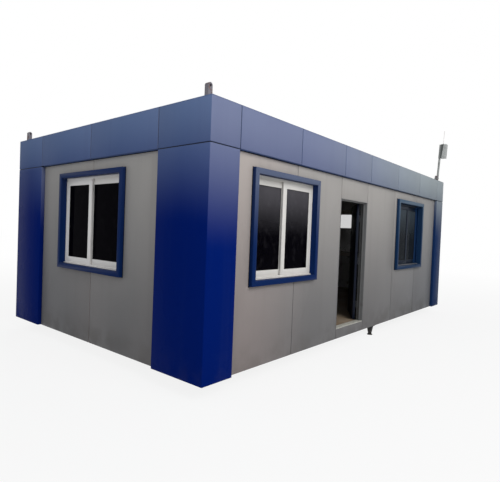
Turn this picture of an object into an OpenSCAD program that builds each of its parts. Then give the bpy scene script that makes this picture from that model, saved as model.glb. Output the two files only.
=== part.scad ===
// Prefabricated site office: a single-room cabin on stub legs. A steel base carries
// insulated walls, which are clad in grey panels between proud blue corner columns,
// window surrounds and a deep fascia that hides a ribbed roof behind its parapet.
// Frame: origin on the ground under the middle of the cabin, +X along the door wall,
// +Y from the door wall to the back wall, +Z up. Lengths are in millimetres.

/* [Bays] */
// Width of one cladding panel on the long walls
panel_w = 1160; // [1100:10:1400]
// Number of panels between the left column and the door
panels_left = 2; // [2:1:4]
// Number of panels between the door and the right column
panels_right = 3; // [3:1:6]
// Width of the door bay
door_bay_w = 890; // [800:10:1100]
// Width of one cladding panel on the end walls
end_panel_w = 1390; // [1300:10:1800]
// Number of panels on each end wall
end_panels = 2; // [2:1:4]
// Width of a corner column on the long walls
column_long_w = 440; // [300:10:600]
// Width of a corner column on the end walls
column_end_w = 810; // [600:10:1000]
// Shadow gap between two pieces of cladding
joint_gap = 10; // [4:1:20]

/* [Heights] */
// Height of the stub legs
leg_h = 160; // [80:5:400]
// Height of the door head above the lower edge of the cladding
door_head_h = 2080; // [1900:5:2400]
// Height of the panel over the door
over_door_h = 310; // [250:5:600]
// Height of the fascia band
fascia_h = 450; // [300:10:700]
// Height of the ceiling above the lower edge of the fascia
ceiling_rise = 20; // [0:1:60]

/* [Wall build-up] */
// How far columns, fascia and window surrounds stand out from the grey panels
proud = 50; // [30:1:80]
// Thickness of a cladding panel
panel_t = 30; // [15:1:40]
// Thickness of the insulated wall core
core_t = 80; // [70:1:120]
// Thickness of the coping on the parapet
coping_t = 6; // [2:1:10]
// Gap between two strips of coping
coping_gap = 3; // [1:0.5:6]

/* [Base] */
// Depth of the channels of the base frame
base_h = 125; // [100:5:150]
// Flange width of the base channels
base_flange_w = 65; // [50:1:80]
// Wall thickness of the base channels
base_wall_t = 8; // [5:1:12]
// Number of joists between the two end channels
joists = 9; // [5:1:15]
// Thickness of the floor deck
deck_t = 20; // [12:1:30]
// Diameter of a leg at its top
leg_top_d = 115; // [90:1:130]
// Diameter of a leg at the ground
leg_foot_d = 48; // [40:1:80]
// Distance from the plane of the long side to the middle of an outer leg
leg_inset = 450; // [300:10:900]
// Distance from the left end to the middle leg
leg_mid = 4105; // [3000:5:4600]

/* [Roof] */
// Thickness of the roof panel between its ribs
roof_t = 60; // [40:1:80]
// Height of the roof ribs
rib_h = 30; // [15:1:45]
// Width of a rib at its foot
rib_foot_w = 70; // [50:1:90]
// Width of a rib at its crown
rib_crown_w = 28; // [15:1:45]
// Distance from rib to rib
rib_pitch = 333; // [250:1:500]

/* [Windows] */
// Clear width of a front window inside its surround
front_window_w = 1240; // [900:10:1300]
// Clear width of an end window inside its surround
end_window_w = 1430; // [900:10:1600]
// Clear height of every window inside its surround
window_h = 1190; // [900:10:1250]
// Distance from the top of the grey panels down to a window surround
window_head_in = 138; // [60:1:200]
// Distance from the left column to the middle of the left front window
window_left_in = 955; // [800:5:1200]
// Distance from the door bay to the middle of the right front window
window_right_in = 1950; // [1300:5:2200]
// Distance from the front plane to the middle of an end window
window_end_in = 2250; // [2000:5:2400]
// Face width of the proud surround
surround_face = 65; // [50:1:90]
// Thickness of the sleeve that lines the cladding opening
sleeve_t = 12; // [6:1:20]
// Distance from the outer plane to the front of the window frame
frame_in = 85; // [82:1:90]
// Face width of the fixed window frame
frame_face = 38; // [30:1:50]
// Thickness of the bottom of a sash channel
frame_base_t = 10; // [6:1:14]
// Thickness of the lips beside the sash channels
lip_t = 5; // [3:1:6]
// Width of a sash channel
track_w = 25; // [22:1:28]
// Face width of the upright stiles of a sash
sash_stile = 74; // [50:1:90]
// Face height of the head and foot rails of a sash
sash_rail = 96; // [60:1:110]
// Share of a front window that its front sash covers
front_split_share = 0.5; // [0.4:0.01:0.6]
// Share of an end window that its front sash covers
end_split_share = 0.44; // [0.4:0.01:0.6]
// Clearance on each side of a sash in its channel
sash_play = 0.5; // [0.2:0.1:0.8]
// Height that its rollers lift a sash off its channel, and its gap to the side of the frame
sash_seat = 0.3; // [0.2:0.1:0.8]
// Lifting clearance above a sash
sash_lift = 8; // [4:1:12]
// Thickness of a pane
pane_t = 6; // [4:1:10]
// How deep a pane sits in its sash
pane_bite = 12; // [6:1:20]

/* [Door] */
// Thickness of the door lining
lining_t = 8; // [4:1:12]
// Width of the door stop
stop_w = 14; // [8:1:20]
// Depth of the door stop
stop_d = 16; // [10:1:20]
// Thickness of the door leaf
leaf_t = 40; // [35:1:45]
// Gap between the leaf and its lining, stop and threshold
leaf_gap = 6; // [5:0.5:8]
// Extra gap at the free edge of the leaf, which swings past the jamb
swing_gap = 3; // [2:0.5:6]
// Height of the threshold plate
threshold_t = 8; // [4:1:12]
// How far the leaf stands open in this model
open_deg = 148; // [100:1:160]
// Radius of a hinge barrel
barrel_r = 8; // [7:0.5:9]
// Height of one hinge barrel
barrel_h = 55; // [40:1:80]
// Radius of a hinge pin
pin_r = 4; // [3:0.5:5]
// Clearance around a hinge pin
pin_play = 0.08; // [0.05:0.01:0.1]
// Reach of a hinge wing from the pin
wing_w = 52; // [35:1:70]
// Thickness of a hinge wing
wing_t = 4; // [3:0.5:5]
// Height of the lever above the floor
lever_h = 1000; // [900:10:1100]
// Distance from the free edge of the leaf to the lever spindle
lever_in = 60; // [50:1:80]
// Length of the lever
lever_l = 120; // [90:1:140]
// Radius of the lever
lever_r = 8; // [6:0.5:10]
// Distance from the leaf to the lever axis
lever_out = 45; // [35:1:55]
// Width of the lever plate
lever_plate_w = 42; // [35:1:50]
// Height of the lever plate
lever_plate_h = 220; // [160:5:260]
// Thickness of the lever plate
lever_plate_t = 6; // [4:1:10]

/* [Lifting posts and aerial] */
// Distance from the end plane to the axis of a lifting post
lift_from_end = 85; // [60:1:110]
// Distance from the plane of the long side to the axis of a lifting post
lift_from_side = 140; // [60:1:150]
// Width of a lifting post
lift_w = 57; // [40:1:60]
// Height of a lifting post above the parapet
lift_h = 155; // [110:5:200]
// Width of the base plate of a lifting post
lift_plate_w = 100; // [85:1:110]
// Thickness of the base plate of a lifting post
lift_plate_t = 8; // [6:1:14]
// Radius of the lifting eye
lift_eye_r = 14; // [10:1:16]
// Distance from the lifting eye to the top of its post
lift_eye_in = 32; // [28:1:40]
// Radius of the aerial mast
mast_r = 23; // [14:1:24]
// Length of the aerial mast
mast_l = 880; // [600:10:1200]
// Lean of the aerial mast towards the front
mast_lean = 3; // [0:0.5:4]
// Gap between the mast and the lifting post that carries it
mast_gap = 8; // [6:1:12]
// Height of a mast clamp
clamp_h = 24; // [16:1:30]
// Wall of a mast clamp
clamp_wall = 7; // [4:1:10]
// Width of the aerial housing
unit_w = 106; // [90:1:140]
// Depth of the aerial housing
unit_d = 136; // [60:1:150]
// Height of the aerial housing
unit_h = 315; // [200:5:350]
// Number of ribs on the aerial housing
unit_ribs = 9; // [5:1:13]
// Depth of the ribs on the aerial housing
unit_rib_d = 6; // [3:1:9]
// Reach of the bracket between the mast and the housing
bracket_l = 28; // [26:1:45]
// Radius of the whip
whip_r = 5; // [3:0.5:8]
// Length of the whip
whip_l = 310; // [200:10:500]

/* [Hidden] */
$fn = 48;
overrun = 1;

// Plan sizes and the edges of the cladding bays
length = 2 * column_long_w + (panels_left + panels_right) * panel_w + door_bay_w;
width = 2 * column_end_w + end_panels * end_panel_w;
left_edges = [for (i = [0:panels_left]) column_long_w + i * panel_w];
door_x0 = left_edges[panels_left];
door_x1 = door_x0 + door_bay_w;
right_edges = [for (i = [0:panels_right]) door_x1 + i * panel_w];
long_edges = concat(left_edges, right_edges);
end_edges = [for (i = [0:end_panels]) column_end_w + i * end_panel_w];
half_gap = joint_gap / 2;

// Depths from the outer plane
skin = proud + panel_t;
inner = skin + core_t;
frame_back = frame_in + 3 * lip_t + 2 * track_w;

// Levels above the ground
clad_z = leg_h;
deck_z = clad_z + base_h;
floor_z = deck_z + deck_t;
door_head_z = clad_z + door_head_h;
panel_top_z = door_head_z + over_door_h;
fascia_z = panel_top_z + joint_gap;
top_z = fascia_z + fascia_h;
coping_z = top_z - coping_t;
ceiling_z = fascia_z + ceiling_rise;
window_z1 = panel_top_z - window_head_in - surround_face;
window_z0 = window_z1 - window_h;
threshold_z = floor_z + threshold_t;

// Window middles along their own walls, seen from outside
window_left_x = column_long_w + window_left_in;
window_right_x = door_x1 + window_right_in;
window_end_left_x = width - window_end_in;
window_end_right_x = window_end_in;

// Door leaf, closed, and its pin
leaf_y0 = inner - leaf_t;
leaf_x0 = door_x0 + lining_t + leaf_gap + swing_gap;
leaf_x1 = door_x1 - lining_t - leaf_gap;
leaf_z0 = threshold_z + leaf_gap;
leaf_z1 = door_head_z - lining_t - leaf_gap;
stop_y1 = leaf_y0 - leaf_gap;
pin_x = leaf_x1 + leaf_gap / 2;
pin_y = inner + barrel_r + wing_t / 2;
hinge_shares = [0.13, 0.5, 0.87];
hinge_zs = [for (s = hinge_shares) leaf_z0 + s * (leaf_z1 - leaf_z0)];
hinge_gap = 0.3;
pin_short = 3;
lever_x = leaf_x0 + lever_in;
lever_z = floor_z + lever_h;
lever_drop_share = 0.6;

// Base frame
joist_span = length - 2 * skin - 2 * base_flange_w;
leg_y = skin + base_flange_w / 2;
function joist_x(i) = skin + base_flange_w + i * joist_span / (joists + 1);
leg_spots = [
    [joist_x(1) + base_flange_w / 2, leg_inset],
    [leg_mid, leg_y],
    [joist_x(joists) + base_flange_w / 2, leg_inset]
];

// Aerial
mast_x = length - lift_from_end + lift_w / 2 + mast_gap + mast_r;
mast_foot = lift_plate_t + 2 * mast_r * sin(mast_lean);
clamp_zone = lift_h - lift_eye_in - lift_eye_r - lift_plate_t;
clamp_shares = [0.1, 0.9];
unit_z = mast_l - unit_h;
whip_in_share = 0.22;
unit_rib_fill_share = 0.55;

// Moves children from plan coordinates, counted from the front left corner, to the frame
module in_plan() {
    translate([-length / 2, -width / 2, 0]) children();
}

// A slab between two opposite corners
module slab(from, to) {
    translate(from) cube(to - from);
}

// Wall coordinates: x along the wall as seen from outside, y inwards from the outer plane
module on_front() {
    in_plan() children();
}

module on_back() {
    in_plan() translate([length, width, 0]) rotate([0, 0, 180]) children();
}

module on_left() {
    in_plan() translate([0, width, 0]) rotate([0, 0, -90]) children();
}

module on_right() {
    in_plan() translate([length, 0, 0]) rotate([0, 0, 90]) children();
}

// Repeats a front left corner piece at one of the four corners
module at_corner(right, back) {
    mirror([right ? 1 : 0, 0, 0])
        mirror([0, back ? 1 : 0, 0])
            in_plan() children();
}

// A row of cladding pieces between neighbouring edges, with a shadow gap at each joint
module cladding_row(edges, y0, y1, z0, z1) {
    for (i = [0:len(edges) - 2])
        slab([edges[i] + half_gap, y0, z0], [edges[i + 1] - half_gap, y1, z1]);
}

// The opening that a window needs in the cladding and in the core
module window_cut(x, w) {
    reach = w / 2 + sleeve_t;
    slab([x - reach, -overrun, window_z0 - sleeve_t], [x + reach, inner + overrun, window_z1 + sleeve_t]);
}

// L-shaped corner cladding
module corner_cladding(z0, z1) {
    slab([0, 0, z0], [column_long_w - half_gap, skin, z1]);
    slab([0, 0, z0], [skin, column_end_w - half_gap, z1]);
}

// A channel along X, open towards +Y
module channel(x0, x1, y, z) {
    difference() {
        slab([x0, y, z], [x1, y + base_flange_w, z + base_h]);
        slab([x0 - overrun, y + base_wall_t, z + base_wall_t],
             [x1 + overrun, y + base_flange_w + overrun, z + base_h - base_wall_t]);
    }
}

// Outer legs under the first and last joists, middle legs under the side beams
module support_legs() {
    color("black")
        for (spot = leg_spots)
            for (y = [spot[1], width - spot[1]])
                in_plan() translate([spot[0], y, 0]) cylinder(h = leg_h, d1 = leg_foot_d, d2 = leg_top_d);
}

module base_side_beams() {
    color("dimgray") {
        on_front() channel(skin, length - skin, skin, clad_z);
        on_back() channel(skin, length - skin, skin, clad_z);
    }
}

// End channels open inwards, and joists between the side beams
module base_cross_members() {
    x0 = skin + base_flange_w;
    x1 = width - skin - base_flange_w;
    color("dimgray") {
        on_left() channel(x0, x1, skin, clad_z);
        on_right() channel(x0, x1, skin, clad_z);
        for (i = [1:joists])
            on_left() channel(x0, x1, joist_x(i), clad_z);
    }
}

module floor_deck() {
    color("tan") in_plan() slab([skin, skin, deck_z], [length - skin, width - skin, floor_z]);
}

module front_wall_left() {
    color("whitesmoke") on_front() difference() {
        slab([skin, skin, floor_z], [door_x0, inner, coping_z]);
        window_cut(window_left_x, front_window_w);
    }
}

module front_wall_right() {
    color("whitesmoke") on_front() difference() {
        slab([door_x1, skin, floor_z], [length - skin, inner, coping_z]);
        window_cut(window_right_x, front_window_w);
    }
}

module front_wall_header() {
    color("whitesmoke") on_front() slab([door_x0, skin, door_head_z], [door_x1, inner, coping_z]);
}

// The core of an end wall stands between the cores of the long walls
module end_wall(window_x) {
    difference() {
        slab([inner, skin, floor_z], [width - inner, inner, coping_z]);
        window_cut(window_x, end_window_w);
    }
}

module left_wall() {
    color("whitesmoke") on_left() end_wall(window_end_left_x);
}

module right_wall() {
    color("whitesmoke") on_right() end_wall(window_end_right_x);
}

module back_wall() {
    color("whitesmoke") on_back() slab([skin, skin, floor_z], [length - skin, inner, coping_z]);
}

module front_panels_left() {
    color("darkgray") on_front() difference() {
        cladding_row(left_edges, proud, skin, clad_z, panel_top_z);
        window_cut(window_left_x, front_window_w);
    }
}

module front_panels_right() {
    color("darkgray") on_front() difference() {
        cladding_row(right_edges, proud, skin, clad_z, panel_top_z);
        window_cut(window_right_x, front_window_w);
    }
}

// The panel over the door and the strip under its threshold
module door_surround_panels() {
    color("darkgray") on_front() {
        cladding_row([door_x0, door_x1], proud, skin, door_head_z, panel_top_z);
        cladding_row([door_x0, door_x1], proud, skin, clad_z, floor_z);
    }
}

module end_panels_on_wall(window_x) {
    difference() {
        cladding_row(end_edges, proud, skin, clad_z, panel_top_z);
        window_cut(window_x, end_window_w);
    }
}

module left_panels() {
    color("darkgray") on_left() end_panels_on_wall(window_end_left_x);
}

module right_panels() {
    color("darkgray") on_right() end_panels_on_wall(window_end_right_x);
}

// The back repeats the bays of the front, so that the joints of both walls line up
module back_panels() {
    back_edges = [for (i = [len(long_edges) - 1:-1:0]) length - long_edges[i]];
    color("darkgray") on_back() cladding_row(back_edges, proud, skin, clad_z, panel_top_z);
}

module column_front_left() {
    color("midnightblue") at_corner(false, false) corner_cladding(clad_z, panel_top_z);
}

module column_front_right() {
    color("midnightblue") at_corner(true, false) corner_cladding(clad_z, panel_top_z);
}

module column_back_left() {
    color("midnightblue") at_corner(false, true) corner_cladding(clad_z, panel_top_z);
}

module column_back_right() {
    color("midnightblue") at_corner(true, true) corner_cladding(clad_z, panel_top_z);
}

module fascia_front() {
    color("midnightblue") on_front() cladding_row(long_edges, 0, skin, fascia_z, coping_z);
}

module fascia_back() {
    back_edges = [for (i = [len(long_edges) - 1:-1:0]) length - long_edges[i]];
    color("midnightblue") on_back() cladding_row(back_edges, 0, skin, fascia_z, coping_z);
}

module fascia_ends() {
    color("midnightblue") {
        on_left() cladding_row(end_edges, 0, skin, fascia_z, coping_z);
        on_right() cladding_row(end_edges, 0, skin, fascia_z, coping_z);
    }
}

module fascia_corners() {
    color("midnightblue")
        for (right = [false, true], back = [false, true])
            at_corner(right, back) corner_cladding(fascia_z, coping_z);
}

module parapet_coping() {
    end_in = inner + coping_gap;
    color("midnightblue") {
        on_front() slab([0, 0, coping_z], [length, inner, top_z]);
        on_back() slab([0, 0, coping_z], [length, inner, top_z]);
        on_left() slab([end_in, 0, coping_z], [width - end_in, inner, top_z]);
        on_right() slab([end_in, 0, coping_z], [width - end_in, inner, top_z]);
    }
}

// Insulated roof panel with ribs across the cabin, set between the wall cores
module roof_panel() {
    span = length - 2 * inner;
    ribs = floor(span / rib_pitch);
    first = (span - (ribs - 1) * rib_pitch) / 2;
    color("gainsboro") in_plan()
        translate([inner, width - inner, ceiling_z]) rotate([90, 0, 0])
            linear_extrude(width - 2 * inner) {
                square([span, roof_t]);
                for (i = [0:ribs - 1])
                    translate([first + i * rib_pitch, roof_t]) polygon([
                        [-rib_foot_w / 2, 0], [rib_foot_w / 2, 0],
                        [rib_crown_w / 2, rib_h], [-rib_crown_w / 2, rib_h]
                    ]);
            }
}

// A post with a round head and an eye, on a base plate at each corner of the parapet
module lifting_post() {
    slab([-lift_plate_w / 2, -lift_plate_w / 2, 0], [lift_plate_w / 2, lift_plate_w / 2, lift_plate_t]);
    translate([0, lift_w / 2, 0]) rotate([90, 0, 0]) linear_extrude(lift_w) difference() {
        union() {
            translate([-lift_w / 2, 0]) square([lift_w, lift_h - lift_w / 2]);
            translate([0, lift_h - lift_w / 2]) circle(d = lift_w);
        }
        translate([0, lift_h - lift_eye_in]) circle(r = lift_eye_r);
    }
}

module lifting_posts() {
    color("rosybrown")
        for (right = [false, true], back = [false, true])
            at_corner(right, back) translate([lift_from_end, lift_from_side, top_z]) lifting_post();
}

// Places children at the foot of the mast, beside the front right lifting post
module at_mast() {
    in_plan() translate([mast_x, lift_from_side, top_z]) children();
}

// Leaning pole with two clamps around the lifting post and a bracket for the housing
module aerial_mast() {
    post_x = -(mast_gap + mast_r + lift_w / 2);
    reach = lift_w / 2 + clamp_wall;
    color("slategray") at_mast() {
        rotate([mast_lean, 0, 0]) {
            translate([0, 0, mast_foot]) cylinder(r = mast_r, h = mast_l - mast_foot);
            slab([-mast_r, -bracket_l, unit_z], [mast_r, mast_r, mast_l]);
        }
        for (s = clamp_shares)
            translate([0, 0, lift_plate_t + s * (clamp_zone - clamp_h)]) difference() {
                slab([post_x - reach, -reach, 0], [0, reach, clamp_h]);
                slab([post_x - lift_w / 2, -lift_w / 2, -overrun],
                     [post_x + lift_w / 2, lift_w / 2, clamp_h + overrun]);
            }
    }
}

// Finned housing in front of the mast, with a whip on its top
module aerial_unit() {
    fin_pitch = unit_h / unit_ribs;
    fin_h = fin_pitch * unit_rib_fill_share;
    color("lightgray") at_mast() rotate([mast_lean, 0, 0]) {
        difference() {
            slab([-unit_d / 2, -bracket_l - unit_w, unit_z], [unit_d / 2, -bracket_l, mast_l]);
            for (i = [0:unit_ribs - 1])
                slab([-unit_d / 2 - overrun, -bracket_l - unit_w - overrun, unit_z + i * fin_pitch + fin_h],
                     [-unit_d / 2 + unit_rib_d, -bracket_l - unit_rib_d, unit_z + (i + 1) * fin_pitch]);
        }
        translate([0, -bracket_l - whip_in_share * unit_w, mast_l]) cylinder(r = whip_r, h = whip_l);
    }
}

// Boxed surround that stands proud of the panels, with a sleeve back to the window frame
module window_surround(x, w) {
    face = w / 2 + surround_face;
    sleeve = w / 2 + sleeve_t;
    color("navy") difference() {
        union() {
            slab([x - face, 0, window_z0 - surround_face], [x + face, proud, window_z1 + surround_face]);
            slab([x - sleeve, 0, window_z0 - sleeve_t], [x + sleeve, frame_in, window_z1 + sleeve_t]);
        }
        slab([x - w / 2, -overrun, window_z0], [x + w / 2, frame_in + overrun, window_z1]);
    }
}

// A sash in its own channel: the channel number counts from the front
function sash_y(track) = frame_in + lip_t + track * (track_w + lip_t) + sash_play;
function sash_x0(x, w) = x - w / 2 - sleeve_t + frame_base_t + sash_seat;
function sash_w(w, share) = share * w + sash_stile / 2 + sleeve_t - frame_base_t - sash_seat;
function sash_left(x, w, right, share) = right ? 2 * x - sash_x0(x, w) - sash_w(w, share) : sash_x0(x, w);
sash_d = track_w - 2 * sash_play;
sash_z0 = window_z0 - sleeve_t + frame_base_t + sash_seat;
sash_z1 = window_z1 + sleeve_t - frame_base_t - sash_lift;

// A pane, seated all round in its sash
module pane(x, w, track, right, share) {
    x0 = sash_left(x, w, right, share) + sash_stile - pane_bite;
    x1 = x0 + sash_w(w, share) - 2 * (sash_stile - pane_bite);
    z_in = sash_rail - pane_bite;
    y = sash_y(track) + (sash_d - pane_t) / 2;
    slab([x0, y, sash_z0 + z_in], [x1, y + pane_t, sash_z1 - z_in]);
}

module sash(x, w, track, right, share) {
    x0 = sash_left(x, w, right, share);
    x1 = x0 + sash_w(w, share);
    y = sash_y(track);
    difference() {
        slab([x0, y, sash_z0], [x1, y + sash_d, sash_z1]);
        slab([x0 + sash_stile, y - overrun, sash_z0 + sash_rail],
             [x1 - sash_stile, y + sash_d + overrun, sash_z1 - sash_rail]);
        pane(x, w, track, right, share);
    }
}

// Fixed frame with two channels, and one sash in each; the front one is on the side that is named
module window_slider(x, w, front_on_right, share) {
    outer = w / 2 + sleeve_t;
    clear = outer - frame_face;
    floor_of_track = outer - frame_base_t;
    z0 = window_z0 - sleeve_t;
    z1 = window_z1 + sleeve_t;
    color("white") {
        difference() {
            slab([x - outer, frame_in, z0], [x + outer, frame_back, z1]);
            slab([x - clear, frame_in - overrun, z0 + frame_face], [x + clear, frame_back + overrun, z1 - frame_face]);
            for (track = [0, 1])
                slab([x - floor_of_track, sash_y(track) - sash_play, z0 + frame_base_t],
                     [x + floor_of_track, sash_y(track) + sash_d + sash_play, z1 - frame_base_t]);
        }
        sash(x, w, 0, front_on_right, share);
        sash(x, w, 1, !front_on_right, 1 - share);
    }
}

module window_panes(x, w, front_on_right, share) {
    color("darkslategray") {
        pane(x, w, 0, front_on_right, share);
        pane(x, w, 1, !front_on_right, 1 - share);
    }
}

module window_left_surround() {
    on_front() window_surround(window_left_x, front_window_w);
}

module window_left_slider() {
    on_front() window_slider(window_left_x, front_window_w, true, front_split_share);
}

module window_left_panes() {
    on_front() window_panes(window_left_x, front_window_w, true, front_split_share);
}

module window_right_surround() {
    on_front() window_surround(window_right_x, front_window_w);
}

module window_right_slider() {
    on_front() window_slider(window_right_x, front_window_w, false, front_split_share);
}

module window_right_panes() {
    on_front() window_panes(window_right_x, front_window_w, false, front_split_share);
}

module window_end_left_surround() {
    on_left() window_surround(window_end_left_x, end_window_w);
}

module window_end_left_slider() {
    on_left() window_slider(window_end_left_x, end_window_w, false, end_split_share);
}

module window_end_left_panes() {
    on_left() window_panes(window_end_left_x, end_window_w, false, end_split_share);
}

module window_end_right_surround() {
    on_right() window_surround(window_end_right_x, end_window_w);
}

module window_end_right_slider() {
    on_right() window_slider(window_end_right_x, end_window_w, false, end_split_share);
}

module window_end_right_panes() {
    on_right() window_panes(window_end_right_x, end_window_w, false, end_split_share);
}

// A portal of two jambs and a head that lines the doorway
module portal(reveal, y0, y1) {
    slab([door_x0, y0, floor_z], [door_x0 + reveal, y1, door_head_z]);
    slab([door_x1 - reveal, y0, floor_z], [door_x1, y1, door_head_z]);
    slab([door_x0, y0, door_head_z - reveal], [door_x1, y1, door_head_z]);
}

module door_frame() {
    color("gray") on_front() {
        portal(lining_t, proud, inner);
        portal(lining_t + stop_w, stop_y1 - stop_d, stop_y1);
    }
}

module threshold() {
    color("silver") on_front() difference() {
        slab([door_x0 + lining_t, proud, floor_z], [door_x1 - lining_t, inner, threshold_z]);
        portal(lining_t + stop_w, stop_y1 - stop_d, stop_y1);
    }
}

// Fixed half of each lift-off hinge: a wing on the wall, a barrel and the pin
module hinge_pins() {
    color("silver") on_front()
        for (z = hinge_zs) {
            translate([pin_x, pin_y, z - barrel_h]) cylinder(r = barrel_r, h = barrel_h);
            translate([pin_x, pin_y, z]) cylinder(r = pin_r, h = barrel_h - pin_short);
            slab([pin_x, inner, z - barrel_h], [pin_x + wing_w, inner + wing_t, z]);
        }
}

// Swings children from the closed door to the open one
module swung_open() {
    in_plan() translate([pin_x, pin_y, 0]) rotate([0, 0, -open_deg]) translate([-pin_x, -pin_y, 0]) children();
}

module door_leaf() {
    color("gray") swung_open() slab([leaf_x0, leaf_y0, leaf_z0], [leaf_x1, inner, leaf_z1]);
}

// Lever and plate on the face of the leaf at y, pointing outwards along side
module lever(y, side) {
    plate_x = lever_x - lever_plate_w / 2;
    plate_z = lever_z - lever_plate_h * lever_drop_share;
    mirrored = side < 0 ? 1 : 0;
    translate([0, y, 0]) mirror([0, mirrored, 0]) {
        slab([plate_x, 0, plate_z], [plate_x + lever_plate_w, lever_plate_t, plate_z + lever_plate_h]);
        translate([lever_x, 0, lever_z]) rotate([-90, 0, 0]) cylinder(r = lever_r, h = lever_out);
        translate([lever_x, lever_out, lever_z]) sphere(r = lever_r);
        translate([lever_x, lever_out, lever_z]) rotate([0, 90, 0]) cylinder(r = lever_r, h = lever_l);
    }
}

module door_handles() {
    color("silver") swung_open() {
        lever(leaf_y0, -1);
        lever(inner, 1);
    }
}

// Moving half of each lift-off hinge: a bored barrel that drops over the pin, and its wing
module hinge_knuckles() {
    color("silver") swung_open()
        for (z = hinge_zs)
            difference() {
                union() {
                    translate([pin_x, pin_y, z + hinge_gap]) cylinder(r = barrel_r, h = barrel_h);
                    slab([pin_x - wing_w, inner, z + hinge_gap], [pin_x, inner + wing_t, z + hinge_gap + barrel_h]);
                }
                translate([pin_x, pin_y, z]) cylinder(r = pin_r + pin_play, h = 2 * barrel_h);
            }
}

support_legs();
base_side_beams();
base_cross_members();
floor_deck();
front_wall_left();
front_wall_right();
front_wall_header();
left_wall();
right_wall();
back_wall();
front_panels_left();
front_panels_right();
door_surround_panels();
left_panels();
right_panels();
back_panels();
column_front_left();
column_front_right();
column_back_left();
column_back_right();
fascia_front();
fascia_back();
fascia_ends();
fascia_corners();
parapet_coping();
roof_panel();
lifting_posts();
aerial_mast();
aerial_unit();
window_left_surround();
window_left_slider();
window_left_panes();
window_right_surround();
window_right_slider();
window_right_panes();
window_end_left_surround();
window_end_left_slider();
window_end_left_panes();
window_end_right_surround();
window_end_right_slider();
window_end_right_panes();
door_frame();
threshold();
hinge_pins();
door_leaf();
door_handles();
hinge_knuckles();
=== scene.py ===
"""Looks of a prefabricated site office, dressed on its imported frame. Lengths are in metres."""
import math

import bmesh
import bpy
from mathutils import Matrix, Vector


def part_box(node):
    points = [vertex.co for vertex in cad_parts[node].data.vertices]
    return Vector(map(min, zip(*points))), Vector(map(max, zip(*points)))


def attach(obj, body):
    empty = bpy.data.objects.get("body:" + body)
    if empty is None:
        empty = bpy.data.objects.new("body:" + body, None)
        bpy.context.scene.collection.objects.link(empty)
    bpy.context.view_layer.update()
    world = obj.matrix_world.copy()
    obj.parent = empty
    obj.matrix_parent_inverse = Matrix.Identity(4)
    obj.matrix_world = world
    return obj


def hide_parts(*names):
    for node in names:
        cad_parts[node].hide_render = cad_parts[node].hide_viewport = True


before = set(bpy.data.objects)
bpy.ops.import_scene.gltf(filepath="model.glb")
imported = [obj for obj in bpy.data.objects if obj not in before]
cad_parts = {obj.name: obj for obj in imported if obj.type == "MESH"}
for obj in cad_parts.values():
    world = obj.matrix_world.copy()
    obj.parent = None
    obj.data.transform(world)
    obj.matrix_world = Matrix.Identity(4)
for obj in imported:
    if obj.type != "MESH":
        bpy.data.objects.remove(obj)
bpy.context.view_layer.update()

# Where the photograph was taken from
CAMERA_PLACE = (-6.6509, -5.1449, 1.7083)
CAMERA_HEADING = 50.04
CAMERA_PITCH = -1.353
CAMERA_ROLL = 2.243
CAMERA_LENS = 30.524
CAMERA_SENSOR = 36.0

# How a mesh copied from the frame is cleaned, its edges rounded and its faces shaded
MERGE_WITHIN = 1e-5
FLAT_WITHIN = math.radians(0.5)
FOLD_FROM = math.radians(25)
SMOOTH_BELOW = math.radians(32)
EDGE_SEGMENTS = 2


def turned(degrees, axis):
    return Matrix.Rotation(math.radians(degrees), 4, axis)


# From wall coordinates, seen from outside: x along the wall, y inwards, z up
WALL_TURN = {"front": 0, "left": -90, "back": 180, "right": 90}
WALLS = {wall: turned(turn, "Z") for wall, turn in WALL_TURN.items()}
HERE = Matrix.Identity(4)


# Shader maths

class Value:
    """An output in the node tree of a material or world. Arithmetic on it adds Math nodes to that tree."""

    def __init__(self, owner, socket=None):
        self.owner = owner
        self.tree = owner.node_tree
        self.socket = socket

    def node(self, kind, settings=None, sockets=None, output=0):
        """Adds a node of that type: its settings first, then the values or links of its sockets."""
        made = self.tree.nodes.new(kind)
        for name, value in (settings or {}).items():
            setattr(made, name, value)
        for name, value in (sockets or {}).items():
            if isinstance(value, Value):
                self.tree.links.new(value.socket, made.inputs[name])
            else:
                made.inputs[name].default_value = value
        return Value(self.owner, made.outputs[output])

    def maths(self, operation, first, second):
        return self.node("ShaderNodeMath", {"operation": operation}, {0: first, 1: second})

    def __add__(self, other):
        return self.maths("ADD", self, other)

    def __sub__(self, other):
        return self.maths("SUBTRACT", self, other)

    def __rsub__(self, other):
        return self.maths("SUBTRACT", other, self)

    def __mul__(self, other):
        return self.maths("MULTIPLY", self, other)

    def __abs__(self):
        return self.maths("ABSOLUTE", self, 0.0)

    __radd__ = __add__
    __rmul__ = __mul__


def tint(red, green, blue):
    """A colour as it shows on screen, from 0 to 255, made linear."""
    def linear(level):
        share = level / 255
        return share / 12.92 if share <= 0.04045 else ((share + 0.055) / 1.055) ** 2.4
    return (linear(red), linear(green), linear(blue), 1.0)


def clear_tree(owner):
    """Empties the node tree of a material or world, and gives a value to start from."""
    owner.use_nodes = True
    owner.node_tree.nodes.clear()
    return Value(owner)


def end_tree(value, kind):
    """Makes a value the surface of its material or world, through an output node of that type."""
    value.tree.links.new(value.socket, value.tree.nodes.new(kind).inputs["Surface"])


def start_finish(name):
    """The Object coordinates of a new material, to draw its patterns from."""
    return clear_tree(bpy.data.materials.new(name)).node("ShaderNodeTexCoord", output="Object")


def end_finish(place, colour, sockets, gloss):
    """Ends a material with a surface of that colour and specular level. The sockets hold the rest."""
    sockets = {"Base Color": colour, "Specular IOR Level": gloss, **sockets}
    end_tree(place.node("ShaderNodeBsdfPrincipled", None, sockets), "ShaderNodeOutputMaterial")
    return place.owner


def along(place, axis):
    return place.node("ShaderNodeSeparateXYZ", None, {"Vector": place}, axis)


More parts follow.
